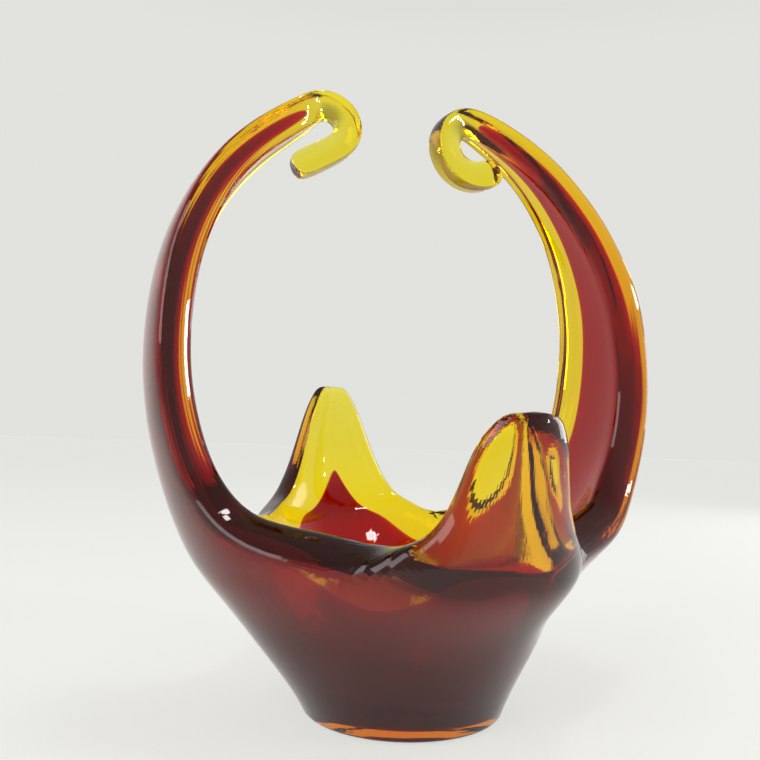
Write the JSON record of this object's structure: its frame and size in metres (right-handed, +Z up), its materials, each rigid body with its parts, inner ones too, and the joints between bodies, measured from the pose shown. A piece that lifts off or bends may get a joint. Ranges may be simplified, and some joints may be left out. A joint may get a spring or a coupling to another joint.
{
  "type": "basket bowl",
  "caption": "Thick cased glass bowl on a flat foot, its rim pulled into tall arms that curl over the opening and short points between them.",
  "frame": {"origin": "middle of the flat foot, on the surface the bowl stands on", "axes": "+Z up; +X towards the taller arm's root, -X towards the other arm; +Y towards the taller, rear point"},
  "size_m": [0.1646, 0.1384, 0.1894],
  "materials": {
    "amber": "fire polished, clear",
    "ruby": "clear, cased in amber"
  },
  "bodies": {
    "root": {"bowl_casing": "amber", "bowl_lining": "amber", "left_arm_casing": "amber", "left_arm_lining": "amber", "right_arm_casing": "amber", "right_arm_lining": "amber", "left_curl": "amber", "right_curl": "amber", "front_point": "amber", "rear_point": "amber", "bowl_ruby": "ruby", "left_arm_ruby": "ruby", "right_arm_ruby": "ruby"}
  },
  "joints": []
}
